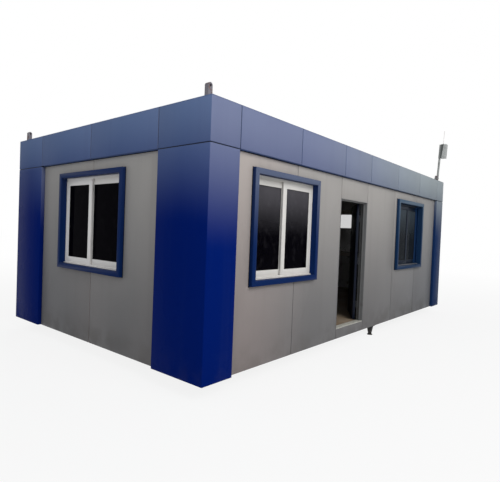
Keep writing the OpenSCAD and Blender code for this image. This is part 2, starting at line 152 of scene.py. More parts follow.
def facing(place, axis):
    """How far a surface faces one axis, either way."""
    return abs(along(place.node("ShaderNodeNewGeometry", output="Normal"), axis))


def mottle(place, scale, detail, stretch=(1.0, 1.0, 1.0)):
    """Soft noise from 0 to 1, drawn out along an axis where its stretch is small."""
    drawn = place.node("ShaderNodeMapping", None, {"Vector": place, "Scale": stretch})
    return place.node("ShaderNodeTexNoise", None, {"Vector": drawn, "Scale": scale, "Detail": detail}, "Fac")


def ease(value, low, high, start=0.0, end=1.0):
    """Rises smoothly from start to end while value goes from low to high."""
    return value.node(
        "ShaderNodeMapRange",
        {"interpolation_type": "SMOOTHSTEP", "clamp": True},
        {"Value": value, "From Min": low, "From Max": high, "To Min": start, "To Max": end},
    )


def blend(factor, first, second):
    """The first colour where factor is 0 and the second where it is 1."""
    return factor.node("ShaderNodeMix", {"data_type": "RGBA"}, {0: factor, 6: first, 7: second}, 2)


def relief(height, strength, distance):
    sockets = {"Strength": strength, "Distance": distance, "Height": height}
    return height.node("ShaderNodeBump", None, sockets, "Normal")


# Finishes

# Where finishes change along an axis: towards the front, short of the right end, at the right window's jamb,
# at the edge of a pane's film, where its sashes meet and down in the roof's valleys
FRONT_SIDE = (-1.0, -1.8)
RIGHT_END = (3.784, 3.774)
RIGHT_JAMB = (2.3, 2.36)
FILM_EDGE = (1.89, 1.88)
SASHES_MEET = (0.03, -0.03)
ROOF_VALLEY = (2.664, 2.642)


def satin_grey():
    """Coated grey composite sheet with rain streaks and a splashed lower edge, and painted light: painted
    shade that darkens it towards the ground, painted warm light at the left of the long walls, and painted
    shade that turns it darker and bluer towards the cabin's right end and towards the back of the end walls.
    """
    place = start_finish("satin_grey")
    height = along(place, "Z")
    # 1 on faces of the long walls, which these finishes paint as the lit sides
    lit_long_side = facing(place, "Y")
    cloud = mottle(place, 1.1, 2.0)
    streak = ease(mottle(place, 1.0, 4.0, (9.0, 9.0, 0.22)), 0.50, 0.72)
    splash = ease(height, 0.6, 0.16) * ease(mottle(place, 4.5, 5.0), 0.36, 0.66)
    # Painted shade: darker towards the ground, paler towards the roof
    shade = ease(height, 0.2, 3.4)
    colour = blend(shade, tint(116, 115, 116), tint(177, 173, 169))
    # Painted warm light on the long walls towards the cabin's left end
    near = ease(along(place, "X"), -1.6, -3.4) * lit_long_side
    colour = blend(near * 0.14, colour, tint(236, 204, 192))
    # Painted shade: darker and bluer towards the cabin's right end
    colour = blend(ease(along(place, "X"), 0.4, 3.4) * 0.22, colour, tint(92, 104, 118))
    # Painted shade: the end walls darker and bluer towards the back
    colour = blend(ease(along(place, "Y"), -0.6, 1.9) * (1.0 - lit_long_side) * 0.16, colour, tint(74, 84, 100))
    colour = blend(cloud * 0.1, colour, tint(140, 134, 132))
    colour = blend(streak * 0.07, colour, tint(104, 101, 98))
    colour = blend(splash * 0.16, colour, tint(92, 86, 78))
    rough = 0.36 + cloud * 0.12 + splash * 0.25
    peel = mottle(place, 260.0, 2.0) * 0.25 + mottle(place, 1.7, 1.0)
    return end_finish(place, colour, {
        "Roughness": rough, "Normal": relief(peel, 0.05, 0.01),
        "Metallic": 0.08,
    }, gloss=0.04)


def cladding_blue():
    """Deep blue composite sheet with streaks and a splashed foot, with painted light: a painted sky
    reflection that pales it towards the roof, most on the long sides, and painted grey light along the front
    to its far end.
    """
    place = start_finish("cladding_blue")
    height = along(place, "Z")
    lit_long_side = facing(place, "Y")
    front = ease(along(place, "Y"), *FRONT_SIDE)
    # far: painted grey light along the front, growing towards its right end
    far = ease(along(place, "X"), -2.6, 3.4) * ease(along(place, "X"), *RIGHT_END) * front
    # shaded: painted shade low on the end walls towards the back
    shaded = ease(along(place, "Y"), 0.8, 1.9) * ease(height, 2.6, 2.5) * (1.0 - lit_long_side)
    # Painted sky reflection: paler towards the roof, most on the long sides, held back where shaded
    painted_sky_sheen = ease(height + lit_long_side * 0.28 - far * 0.18, 1.75, 3.25) * (0.88 + lit_long_side * 0.12 - shaded * 0.45)
    cloud = mottle(place, 1.3, 3.0)
    streak = ease(mottle(place, 1.0, 4.0, (8.0, 8.0, 0.2)), 0.48, 0.75)
    splash = ease(height, 0.5, 0.16) * ease(mottle(place, 5.0, 5.0), 0.42, 0.7)
    # Lit and shaded copies of the blue: the deep and pale tints change with the side and the painted far
    # light
    deep = blend(far, tint(2, 28, 104), tint(26, 50, 92))
    pale = blend(lit_long_side, tint(116, 137, 175), tint(120, 128, 157))
    pale = blend(far, pale, tint(172, 181, 184))
    colour = blend(painted_sky_sheen, deep, pale)
    colour = blend(cloud * 0.1, colour, tint(8, 30, 96))
    colour = blend(streak * 0.05, colour, tint(66, 76, 106))
    colour = blend(splash * 0.08, colour, tint(88, 84, 84))
    rough = 0.22 + cloud * 0.12 + painted_sky_sheen * 0.2 + splash * 0.3
    ripple = mottle(place, 2.1, 1.0) + mottle(place, 280.0, 2.0) * 0.15
    return end_finish(place, colour, {
        "Roughness": rough, "Normal": relief(ripple, 0.03, 0.01),
    }, gloss=0.005)


def surround_blue():
    """Folded blue sheet round the windows, with dust on its ledges, a painted sky reflection that pales it
    towards the top on the long walls, and painted light that turns it greener towards the right.
    """
    place = start_finish("surround_blue")
    height = along(place, "Z")
    lit_long_side = facing(place, "Y") * ease(abs(along(place, "X")), 3.7, 3.5)
    # far: painted light that turns the blue greener towards the right
    far = ease(along(place, "X"), -1.5, 1.5)
    # Painted sky reflection: paler towards the top, mostly on the long walls
    painted_sky_sheen = ease(height, 1.5, 2.55) * (0.08 + lit_long_side * 0.8)
    cloud = mottle(place, 3.0, 3.0)
    dust = ease(facing(place, "Z"), 0.6, 0.95) * ease(mottle(place, 14.0, 4.0), 0.35, 0.65)
    deep = blend(far, tint(14, 38, 86), tint(26, 52, 84))
    pale = blend(far, tint(100, 109, 131), tint(84, 106, 126))
    colour = blend(painted_sky_sheen, deep, pale)
    colour = blend(cloud * 0.15, colour, tint(26, 46, 84))
    colour = blend(dust * 0.3, colour, tint(112, 110, 110))
    return end_finish(place, colour, {
        "Roughness": 0.26 + cloud * 0.14 + dust * 0.3,
        "Normal": relief(mottle(place, 300.0, 2.0), 0.05, 0.002),
    }, gloss=0.02)


def wall_lining():
    """Coated inner sheet, dull and a little scuffed."""
    place = start_finish("wall_lining")
    cloud = mottle(place, 2.0, 4.0)
    scuff = ease(mottle(place, 9.0, 6.0), 0.58, 0.76) * ease(along(place, "Z"), 1.4, 0.3)
    colour = blend(cloud, tint(206, 209, 213), tint(222, 224, 226))
    colour = blend(scuff * 0.5, colour, tint(120, 116, 110))
    return end_finish(place, colour, {
        "Roughness": 0.5 + cloud * 0.2,
        "Normal": relief(mottle(place, 180.0, 2.0), 0.06, 0.003),
    }, gloss=0.25)


def roof_sheet():
    """Pale galvanised roof sheet, dirty along the valleys."""
    place = start_finish("roof_sheet")
    height = along(place, "Z")
    spangle = mottle(place, 38.0, 2.0)
    run = mottle(place, 1.0, 5.0, (3.0, 0.6, 1.0))
    valley = ease(height, *ROOF_VALLEY) * ease(run, 0.3, 0.7)
    colour = blend(spangle, tint(176, 178, 178), tint(202, 203, 201))
    colour = blend(ease(run, 0.42, 0.8) * 0.3, colour, tint(150, 147, 140))
    colour = blend(valley * 0.55, colour, tint(118, 112, 102))
    return end_finish(place, colour, {
        "Roughness": 0.42 + spangle * 0.15 + valley * 0.2, "Metallic": 0.35,
        "Normal": relief(run, 0.03, 0.01),
    }, gloss=0.3)


def base_steel():
    """Dark painted channels with patches of rust."""
    place = start_finish("base_steel")
    patch = ease(mottle(place, 7.0, 8.0), 0.55, 0.72)
    colour = blend(mottle(place, 3.0, 4.0), tint(48, 50, 54), tint(62, 63, 66))
    colour = blend(patch, colour, tint(92, 62, 44))
    return end_finish(place, colour, {
        "Roughness": 0.5 + patch * 0.35,
        "Normal": relief(mottle(place, 60.0, 5.0), 0.2, 0.003),
    }, gloss=0.35)


def leg_black():
    """Black coated stub leg, greyed by dust near the ground."""
    place = start_finish("leg_black")
    dust = ease(along(place, "Z"), 0.14, 0.0) * ease(mottle(place, 22.0, 5.0), 0.3, 0.7)
    colour = blend(dust * 0.6, tint(22, 22, 24), tint(92, 86, 78))
    return end_finish(place, colour, {
        "Roughness": 0.48 + dust * 0.4,
        "Normal": relief(mottle(place, 90.0, 3.0), 0.15, 0.002),
    }, gloss=0.3)


def deck_board():
    """Brown floor sheet with a drawn-out grain and worn patches."""
    place = start_finish("deck_board")
    grain = mottle(place, 1.0, 6.0, (1.2, 26.0, 1.0))
    worn = ease(mottle(place, 2.2, 5.0), 0.4, 0.7)
    colour = blend(grain, tint(116, 99, 81), tint(144, 125, 104))
    colour = blend(worn * 0.45, colour, tint(156, 143, 126))
    return end_finish(place, colour, {
        "Roughness": 0.45 + worn * 0.3,
        "Normal": relief(grain, 0.15, 0.002),
    }, gloss=0.3)


def window_white():
    """White coated window profile with dust on its ledges, and painted light that makes it whiter on the end
    walls.
    """
    place = start_finish("window_white")
    cloud = mottle(place, 6.0, 3.0)
    dust = ease(facing(place, "Z"), 0.6, 0.95) * ease(mottle(place, 18.0, 5.0), 0.3, 0.6)
    # Painted light: the frames on the end walls are painted whiter
    ends = ease(abs(along(place, "X")), 3.5, 3.7)
    colour = blend(cloud, tint(214, 211, 206), tint(225, 222, 218))
    colour = blend(ends, colour, tint(238, 234, 231))
    colour = blend(dust * 0.4, colour, tint(168, 160, 150))
    return end_finish(place, colour, {
        "Roughness": 0.3 + cloud * 0.08 + dust * 0.3,
        "Normal": relief(mottle(place, 240.0, 2.0), 0.05, 0.002),
    }, gloss=0.35)


def window_dark():
    """Dark blue coated window profile, bluer at its right jamb."""
    place = start_finish("window_dark")
    cloud = mottle(place, 6.0, 3.0)
    dust = ease(facing(place, "Z"), 0.6, 0.95) * ease(mottle(place, 18.0, 5.0), 0.3, 0.6)
    colour = blend(cloud, tint(13, 24, 40), tint(18, 31, 49))
    colour = blend(ease(along(place, "X"), *RIGHT_JAMB), colour, tint(28, 54, 92))
    colour = blend(dust * 0.4, colour, tint(96, 96, 96))
    return end_finish(place, colour, {
        "Roughness": 0.34 + dust * 0.3,
        "Normal": relief(mottle(place, 240.0, 2.0), 0.05, 0.002),
    }, gloss=0.03)


def tinted_glass():
    """Nearly black glass with a dusty film, a painted sky reflection towards the top of the long side's
    panes, and a paler, bluer painted reflection on the panes towards the right.
    """
    place = start_finish("tinted_glass")
    height = along(place, "Z")
    smear = mottle(place, 2.6, 4.0)
    long_side = ease(facing(place, "Y"), 0.5, 1.0)
    far = ease(along(place, "X"), -1.2, 1.2)
    # Painted sky reflection towards the top of the long side's panes, weaker towards the right
    painted_sky_reflection = ease(height + smear * 0.1, 1.66, 2.36) * long_side * (1.0 - far * 0.45)
    # film holds a dusty film and the painted sky reflection
    film = ease(mottle(place, 11.0, 5.0), 0.5, 0.75) * (0.03 + long_side * 0.05) + painted_sky_reflection * (0.55 + smear * 0.3)
    # Painted reflection: the panes towards the right are paler and bluer
    film = film + far * 0.12
    colour = blend(film, tint(5, 4, 9), blend(far, tint(94, 92, 97), tint(88, 100, 110)))
    return end_finish(place, colour, {
        "Roughness": 0.05 + smear * 0.05, "Alpha": 0.975 - long_side * 0.04 + painted_sky_reflection * 0.04,
        "IOR": 1.5,
    }, gloss=0.004)


def clear_glass():
    """Lightly tinted glass with a dull film on its lower half in one sash, dark glass in the other."""
    place = start_finish("clear_glass")
    smear = mottle(place, 2.6, 4.0)
    film = ease(along(place, "Z"), *FILM_EDGE)
    dark = ease(along(place, "Y"), *SASHES_MEET)
    colour = blend(film, tint(60, 68, 76), tint(62, 55, 51))
    colour = blend(dark, colour, tint(7, 7, 12))
    held_back = film * (0.6 + smear * 0.16)
    return end_finish(place, colour, {
        "Roughness": 0.05 + smear * 0.06,
        "Alpha": 0.22 + held_back + dark * (0.7 - held_back),
        "IOR": 1.5,
    }, gloss=0.02)


def frame_grey():
    """Grey door lining, rubbed near the floor."""
    place = start_finish("frame_grey")
    cloud = mottle(place, 3.0, 4.0)
    rubbed = ease(along(place, "Z"), 1.3, 0.3) * ease(mottle(place, 12.0, 6.0), 0.5, 0.7)
    colour = blend(cloud, tint(98, 99, 101), tint(112, 112, 112))
    colour = blend(rubbed * 0.6, colour, tint(76, 72, 68))
    return end_finish(place, colour, {
        "Roughness": 0.4 + rubbed * 0.25,
        "Normal": relief(mottle(place, 200.0, 2.0), 0.06, 0.002),
    }, gloss=0.3)


def door_dark():
    """Dark blue-grey door leaf, kicked at the foot."""
    place = start_finish("door_dark")
    cloud = mottle(place, 2.5, 4.0)
    kicked = ease(along(place, "Z"), 0.8, 0.3) * ease(mottle(place, 10.0, 6.0), 0.48, 0.7)
    colour = blend(cloud, tint(12, 19, 33), tint(18, 26, 42))
    colour = blend(kicked * 0.5, colour, tint(64, 62, 60))
    return end_finish(place, colour, {
        "Roughness": 0.36 + cloud * 0.1 + kicked * 0.3,
        "Normal": relief(mottle(place, 150.0, 2.0), 0.06, 0.003),
    }, gloss=0.12)


def bare_metal(name, dark, light, rough, grain=(1.0, 1.0, 1.0)):
    """Metal with a drawn grain and dull patches."""
    place = start_finish(name)
    drawn = mottle(place, 60.0, 4.0, grain)
    dull = ease(mottle(place, 16.0, 5.0), 0.42, 0.7)
    colour = blend(drawn, dark, light)
    return end_finish(place, colour, {
        "Roughness": rough + dull * 0.2, "Metallic": 0.75,
        "Normal": relief(drawn, 0.08, 0.001),
    }, gloss=0.4)


def threshold_metal():
    """Pale worn metal sill, with grit where feet cross it."""
    place = start_finish("threshold_metal")
    drawn = mottle(place, 30.0, 4.0, (0.1, 1.0, 1.0))
    grit = ease(mottle(place, 26.0, 6.0), 0.42, 0.66)
    colour = blend(drawn, tint(188, 187, 178), tint(212, 211, 203))
    colour = blend(grit * 0.5, colour, tint(150, 144, 130))
    return end_finish(place, colour, {
        "Roughness": 0.4 + grit * 0.3, "Metallic": 0.3,
        "Normal": relief(drawn, 0.12, 0.001),
    }, gloss=0.35)


def lifting_steel():
    """Grey painted steel with rust breaking through."""
    place = start_finish("lifting_steel")
    rust = ease(mottle(place, 24.0, 8.0), 0.5, 0.68)
    colour = blend(mottle(place, 9.0, 3.0), tint(102, 99, 108), tint(118, 114, 121))
    colour = blend(rust * 0.75, colour, tint(106, 74, 58))
    return end_finish(place, colour, {
        "Roughness": 0.48 + rust * 0.35,
        "Normal": relief(mottle(place, 120.0, 6.0), 0.25, 0.002),
    }, gloss=0.35)


# The aerial housing is darker on the mast side of a slanting line, and its whip starts above it
AERIAL_SLANT = 0.1464
AERIAL_SPLIT = (-1.628, -1.613)
WHIP_FROM = (3.9, 3.92)


def aerial_grey():
    """Pale grey moulded cover, dulled by weather, darker on the mast side of a slanting line, and a pale
    whip.
    """
    place = start_finish("aerial_grey")
    cloud = mottle(place, 14.0, 4.0)
    grime = ease(mottle(place, 30.0, 6.0), 0.5, 0.72)
    # Darker on the mast side of a slanting line
    back = ease(along(place, "Y") + along(place, "Z") * AERIAL_SLANT, *AERIAL_SPLIT)
    whip = ease(along(place, "Z"), *WHIP_FROM)
    colour = blend(cloud, tint(176, 179, 178), tint(194, 196, 194))
    colour = blend(grime * 0.4, colour, tint(120, 120, 116))
    colour = blend(back, colour, tint(84, 88, 87))
    colour = blend(whip, colour, tint(236, 228, 226))
    return end_finish(place, colour, {
        "Roughness": 0.5 + grime * 0.2,
        "Normal": relief(mottle(place, 400.0, 2.0), 0.1, 0.001),
    }, gloss=0.3)


def dark_rubber(name, dark, light):
    """Rubber or mastic: matt, with a fine skin and specks of dust."""
    place = start_finish(name)
    dust = ease(mottle(place, 40.0, 6.0), 0.5, 0.75)
    colour = blend(dust, dark, light)
    return end_finish(place, colour, {
        "Roughness": 0.6 + dust * 0.25,
        "Normal": relief(mottle(place, 300.0, 3.0), 0.15, 0.001),
    }, gloss=0.2)


FINISHES = {
    "panel_grey": satin_grey(),
    "cladding_blue": cladding_blue(),
    "surround_blue": surround_blue(),
    "wall_lining": wall_lining(),
    "roof_sheet": roof_sheet(),
    "base_steel": base_steel(),
    "leg_black": leg_black(),
    "deck_board": deck_board(),
    "window_white": window_white(),
    "window_dark": window_dark(),
    "tinted_glass": tinted_glass(),
    "clear_glass": clear_glass(),
    "frame_grey": frame_grey(),
    "door_dark": door_dark(),
    "hinge_steel": bare_metal("hinge_steel", tint(50, 52, 56), tint(72, 73, 76), 0.4, (1.0, 1.0, 0.15)),
    "threshold_metal": threshold_metal(),
    "lifting_steel": lifting_steel(),
    "mast_metal": bare_metal("mast_metal", tint(122, 125, 124), tint(148, 150, 148), 0.5, (1.0, 1.0, 0.1)),
    "aerial_grey": aerial_grey(),
}
MASTIC = dark_rubber("joint_mastic", tint(14, 14, 17), tint(40, 40, 42))
GASKET = dark_rubber("glazing_gasket", tint(14, 14, 16), tint(44, 43, 42))
ZINC = bare_metal("zinc_fasteners", tint(136, 138, 140), tint(176, 177, 176), 0.34)
FLASHING = bare_metal("roof_flashing", tint(150, 152, 154), tint(180, 181, 180), 0.4, (0.2, 0.2, 1.0))


# Shapes

# A screw's washer and head, as shares of its radius and height, and the outline of a rivet's head
WASHER_SHARE = 0.25
WASHER_TAPER = 0.92
HEAD_SIDES = 6
HEAD_FOOT = 0.6
HEAD_TOP = 0.52
RIVET_SIDES = 8
RIVET_OUTLINE = ((1.0, 0.0), (0.86, 0.6), (0.5, 1.0))


def copy_of(node):
    """A clean copy of a node's mesh: corners merged and flat faces whole."""
    shape = bmesh.new()
    shape.from_mesh(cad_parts[node].data)
    bmesh.ops.remove_doubles(shape, verts=shape.verts, dist=MERGE_WITHIN)
    bmesh.ops.dissolve_degenerate(shape, dist=MERGE_WITHIN, edges=shape.edges)
    bmesh.ops.dissolve_limit(shape, angle_limit=FLAT_WITHIN, verts=shape.verts, edges=shape.edges)
    return shape


def round_edges(shape, radius):
    folds = [edge for edge in shape.edges if edge.calc_face_angle(0.0) > FOLD_FROM]
    bmesh.ops.bevel(
        shape, geom=folds, offset=radius, offset_type="OFFSET", affect="EDGES", segments=EDGE_SEGMENTS,
        profile=0.5, clamp_overlap=True, material=-1,
    )
    bmesh.ops.remove_doubles(shape, verts=shape.verts, dist=MERGE_WITHIN)
    bmesh.ops.dissolve_degenerate(shape, dist=MERGE_WITHIN, edges=shape.edges)
    return shape


def gather(shapes):
    """Joins shapes into one."""
    whole = bmesh.new()
    for shape in shapes:
        part = bpy.data.meshes.new("part")
        shape.to_mesh(part)
        shape.free()
        whole.from_mesh(part)
        bpy.data.meshes.remove(part)
    return whole


def repeat(shape, places):
    """The same shape at many places."""
    pattern = bpy.data.meshes.new("pattern")
    shape.to_mesh(pattern)
    shape.free()
    whole = bmesh.new()
    for place in places:
        part = pattern.copy()
        part.transform(place)
        whole.from_mesh(part)
        bpy.data.meshes.remove(part)
    bpy.data.meshes.remove(pattern)
    return whole


def add_piece(name, shape, slot, finish=None, body="cabin", stands_for=None):
    """Makes a piece of the shape, gives it a finish, or else its slot's, and lets it ride on its body."""
    mesh = bpy.data.meshes.new(name)
    shape.to_mesh(mesh)
    shape.free()
    mesh.materials.append(finish or FINISHES[slot])
    mesh.polygons.foreach_set("use_smooth", [True] * len(mesh.polygons))
    mesh.set_sharp_from_angle(angle=SMOOTH_BELOW)
    piece = bpy.data.objects.new(name, mesh)
    bpy.context.scene.collection.objects.link(piece)
    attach(piece, body)
    if stands_for:
        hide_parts(stands_for)


def block(lo, hi, turn, radius):
    """A bar between two opposite corners in wall coordinates, with rounded edges."""
    shape = bmesh.new()
    bmesh.ops.create_cube(shape, size=1.0)
    bmesh.ops.scale(shape, vec=Vector(hi) - Vector(lo), verts=shape.verts)
    bmesh.ops.translate(shape, vec=(Vector(hi) + Vector(lo)) / 2, verts=shape.verts)
    round_edges(shape, radius)
    shape.transform(turn)
    return shape


def ring(lo, hi, width, turn, radius):
    """A flat frame in a wall, between two opposite corners, with bars of that width."""
    shape = bmesh.new()
    corners = ((lo[0], lo[2]), (hi[0], lo[2]), (hi[0], hi[2]), (lo[0], hi[2]))
    middle = shape.faces.new([shape.verts.new((x, lo[1], z)) for x, z in corners])
    middle.normal_update()
    bmesh.ops.inset_region(shape, faces=[middle], thickness=width, use_boundary=True, use_even_offset=True)
    bmesh.ops.delete(shape, geom=[middle], context="FACES")
    bmesh.ops.solidify(shape, geom=shape.faces[:], thickness=hi[1] - lo[1])
    lowest = min(vert.co.y for vert in shape.verts)
    bmesh.ops.translate(shape, vec=(0.0, lo[1] - lowest, 0.0), verts=shape.verts)
    bmesh.ops.recalc_face_normals(shape, faces=shape.faces)
    round_edges(shape, radius)
    shape.transform(turn)
    return shape


def add_cone(shape, sides, foot, top, height):
    """Adds a tapered round to the shape, standing on z = 0."""
    bmesh.ops.create_cone(
        shape, cap_ends=True, segments=sides, radius1=foot, radius2=top, depth=height,
        matrix=Matrix.Translation((0.0, 0.0, height / 2)),
    )


def stud(radius, height, sides=10):
    """A screw on its washer, standing on z = 0."""
    shape = bmesh.new()
    add_cone(shape, sides, radius, radius * WASHER_TAPER, height * WASHER_SHARE)
    add_cone(shape, HEAD_SIDES, radius * HEAD_FOOT, radius * HEAD_TOP, height)
    return shape


def dome(radius, height):
    """A rivet head standing on z = 0."""
    shape = bmesh.new()
    outline = [shape.verts.new((radius * x, 0.0, height * z)) for x, z in RIVET_OUTLINE]
    edges = [shape.edges.new(pair) for pair in zip(outline, outline[1:])]
    bmesh.ops.spin(
        shape, geom=outline + edges, cent=(0.0, 0.0, 0.0), axis=(0.0, 0.0, 1.0), dvec=(0.0, 0.0, 0.0),
        angle=math.tau, steps=RIVET_SIDES, use_merge=True,
    )
    bmesh.ops.holes_fill(shape, edges=[edge for edge in shape.edges if edge.is_boundary], sides=0)
    bmesh.ops.recalc_face_normals(shape, faces=shape.faces)
    return shape


def solids_of(node, turn):
    """The boxes of a node's separate solids, in the coordinates of a wall or of the shut door."""
    shape = bmesh.new()
    shape.from_mesh(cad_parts[node].data)
    bmesh.ops.remove_doubles(shape, verts=shape.verts, dist=MERGE_WITHIN)
    shape.transform(turn.inverted())
    # A dict keeps its order, where a set would give the boxes in another order on each run
    waiting = dict.fromkeys(shape.verts)
    boxes = []
    while waiting:
        reached = [waiting.popitem()[0]]
        for vert in reached:
            for edge in vert.link_edges:
                other = edge.other_vert(vert)
                if other in waiting:
                    del waiting[other]
                    reached.append(other)
        lo = Vector([min(vert.co[i] for vert in reached) for i in range(3)])
        hi = Vector([max(vert.co[i] for vert in reached) for i in range(3)])
        boxes.append((lo, hi))
    shape.free()
    return boxes


# Nodes of the frame: the slot that gives their finish, the radius of their edges, and their names
DRESSED = (
    ("panel_grey", 0.0022, ("front_panels_left", "front_panels_right", "door_surround_panels",
                            "left_panels", "right_panels", "back_panels")),
    ("cladding_blue", 0.004, ("column_front_left", "column_front_right", "column_back_left",
                              "column_back_right", "fascia_front", "fascia_back", "fascia_ends",
                              "fascia_corners")),
    ("surround_blue", 0.004, ("window_left_surround", "window_right_surround",
                              "window_end_left_surround", "window_end_right_surround")),
    ("window_white", 0.002, ("window_left_slider", "window_end_left_slider", "window_end_right_slider")),
    ("window_dark", 0.002, ("window_right_slider",)),
    ("wall_lining", 0.001, ("front_wall_left", "front_wall_right", "front_wall_header",
                            "left_wall", "right_wall", "back_wall")),
    ("roof_sheet", 0.003, ("roof_panel",)),
    ("base_steel", 0.002, ("base_side_beams", "base_cross_members")),
    ("leg_black", 0.004, ("support_legs",)),
    ("deck_board", 0.001, ("floor_deck",)),
    ("frame_grey", 0.0015, ("door_frame",)),
    ("door_dark", 0.0025, ("door_leaf",)),
    ("threshold_metal", 0.002, ("threshold",)),
    ("lifting_steel", 0.003, ("lifting_posts",)),
    ("mast_metal", 0.0, ("aerial_mast",)),
    ("aerial_grey", 0.002, ("aerial_unit",)),
    ("hinge_steel", 0.0006, ("hinge_pins", "hinge_knuckles", "door_handles")),
    ("cladding_blue", 0.0025, ("parapet_coping",)),
)
DOOR_NODES = ("door_leaf", "hinge_knuckles", "door_handles")
PANES = {
    "window_left_panes": "tinted_glass", "window_right_panes": "tinted_glass",
    "window_end_left_panes": "tinted_glass", "window_end_right_panes": "clear_glass",
}


def dress_nodes():
    for slot, radius, nodes in DRESSED:
        for node in nodes:
            body = "door" if node in DOOR_NODES else "cabin"
            shape = copy_of(node)
            if radius:
                round_edges(shape, radius)
            add_piece(node + "_dressed", shape, slot, None, body, node)
    for node, finish in PANES.items():
        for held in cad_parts[node].material_slots:
            held.material = FINISHES[finish]


dress_nodes()


# Sealed joints of the cladding

HALF_LENGTH = 3.785
HALF_WIDTH = 2.2
OUTER_PLANE = {"front": -HALF_WIDTH, "right": -HALF_LENGTH, "back": -HALF_WIDTH, "left": -HALF_LENGTH}
WALL_HALF = {"front": HALF_LENGTH, "right": HALF_WIDTH, "back": HALF_LENGTH, "left": HALF_WIDTH}
SHEETS = {
    "front": ("column_front_left", "front_panels_left", "door_surround_panels", "front_panels_right",
              "column_front_right", "fascia_corners", "fascia_front"),
    "right": ("column_front_right", "right_panels", "column_back_right", "fascia_corners", "fascia_ends"),
    "back": ("column_back_right", "back_panels", "column_back_left", "fascia_corners", "fascia_back"),
    "left": ("column_back_left", "left_panels", "column_front_left", "fascia_corners", "fascia_ends"),
}
WINDOWS = (
    ("front", "window_left"), ("front", "window_right"),
    ("left", "window_end_left"), ("right", "window_end_right"),
)
SHEET_REACH = 0.06
PANEL_SETBACK = 0.05
JOINT_WIDEST = 0.02
JOINT_SHORTEST = 0.1
JOINT_RECESS = 0.006
JOINT_DEPTH = 0.018
JOINT_ROUND = 0.003
EAVES_LOW = 2.55
EAVES_HIGH = 2.56
EAVES_NEAR = 0.002


def sheets_on(wall):
    """The boxes of the sheets whose faces are on that wall."""
    boxes = [box for node in SHEETS[wall] for box in solids_of(node, WALLS[wall])]
    return [(lo, hi) for lo, hi in boxes if lo.y < OUTER_PLANE[wall] + SHEET_REACH]


def surrounds_on(wall):
    names = [name for side, name in WINDOWS if side == wall]
    return [box for name in names for box in solids_of(name + "_surround", WALLS[wall])]


def upright_beads(wall):
    """Mastic between neighbouring sheets, above and below a window where one crosses the joint."""
    beads = []
    sheets = sheets_on(wall)
    for left_lo, left_hi in sheets:
        for right_lo, right_hi in sheets:
            low = max(left_lo.z, right_lo.z)
            high = min(left_hi.z, right_hi.z)
            gap = right_lo.x - left_hi.x
            if not 0 < gap < JOINT_WIDEST or high - low < JOINT_SHORTEST:
                continue
            spans = [(low, high)]
            for lo, hi in surrounds_on(wall):
                if lo.x < left_hi.x < hi.x and low < lo.z < high:
                    spans = [(low, lo.z), (hi.z, high)]
            face = max(left_lo.y, right_lo.y) + JOINT_RECESS
            for bottom, top in spans:
                beads.append(block(
                    (left_hi.x, face, bottom), (right_lo.x, face + JOINT_DEPTH, top),
                    WALLS[wall], JOINT_ROUND,
                ))
    return beads


def eaves_beads(wall):
    """Mastic between the top of each sheet and the fascia."""
    reach = WALL_HALF[wall] - JOINT_RECESS
    beads = []
    for lo, hi in sheets_on(wall):
        if abs(hi.z - EAVES_LOW) < EAVES_NEAR:
            face = lo.y + JOINT_RECESS
            beads.append(block(
                (max(lo.x - JOINT_RECESS, -reach), face, EAVES_LOW),
                (min(hi.x + JOINT_RECESS, reach), face + JOINT_DEPTH, EAVES_HIGH), WALLS[wall], JOINT_ROUND,
            ))
    return beads


def seal_joints():
    for wall in WALLS:
        add_piece(wall + "_joint_mastic", gather(upright_beads(wall)), "leg_black", MASTIC)
        add_piece(wall + "_eaves_mastic", gather(eaves_beads(wall)), "leg_black", MASTIC)


# Seals and small parts of the windows

PANE_BITE = 0.012
GASKET_WIDTH = 0.005
GASKET_PROUD = 0.004
GASKET_SUNK = 0.0003
GASKET_ROUND = 0.001
SLEEVE = 0.012
SEALANT_WIDTH = 0.007
SEALANT_PROUD = 0.004
SEALANT_ROUND = SEALANT_PROUD * 0.45
MITRE_LENGTH = 0.065
MITRE_WIDTH = 0.0012
MITRE_PROUD = 0.0002
BAR_DEPTH = 0.026
BAR_HEIGHT = 0.017
BAR_ROUND = 0.004
BAR_FALL = 0.45
WEEP_SIZE = Vector((0.034, 0.004, 0.007))
WEEP_SHARES = (0.18, 0.82)
WEEP_RISE = 0.7


def pane_gaskets(wall, name):
    """Rubber seals round each pane, outside and inside."""
    seals = []
    for lo, hi in solids_of(name + "_panes", WALLS[wall]):
        faces = (lo.y - GASKET_PROUD, lo.y + GASKET_SUNK), (hi.y - GASKET_SUNK, hi.y + GASKET_PROUD)
        for start, end in faces:
            seals.append(ring(
                (lo.x + PANE_BITE, start, lo.z + PANE_BITE), (hi.x - PANE_BITE, end, hi.z - PANE_BITE),
                GASKET_WIDTH, WALLS[wall], GASKET_ROUND,
            ))
    return gather(seals)


def frame_box(wall, name):
    """The opening inside the boxed surround, at the outer face of the window frame."""
    boxes = solids_of(name + "_slider", WALLS[wall])
    lo, hi = max(boxes, key=lambda box: (box[1] - box[0]).x)
    inset = Vector((SLEEVE, 0.0, SLEEVE))
    return lo + inset, hi - inset


def weather_bar(wall, name):
    """A sloping bar on the sill."""
    lo, hi = frame_box(wall, name)
    bar = block(
        (lo.x, lo.y - BAR_DEPTH, lo.z), (hi.x, lo.y, lo.z + BAR_HEIGHT), HERE, BAR_ROUND,
    )
    for vert in bar.verts:
        fall = (lo.y - vert.co.y) / BAR_DEPTH
        vert.co.z = lo.z + (vert.co.z - lo.z) * (1.0 - BAR_FALL * fall)
    bar.transform(WALLS[wall])
    return bar


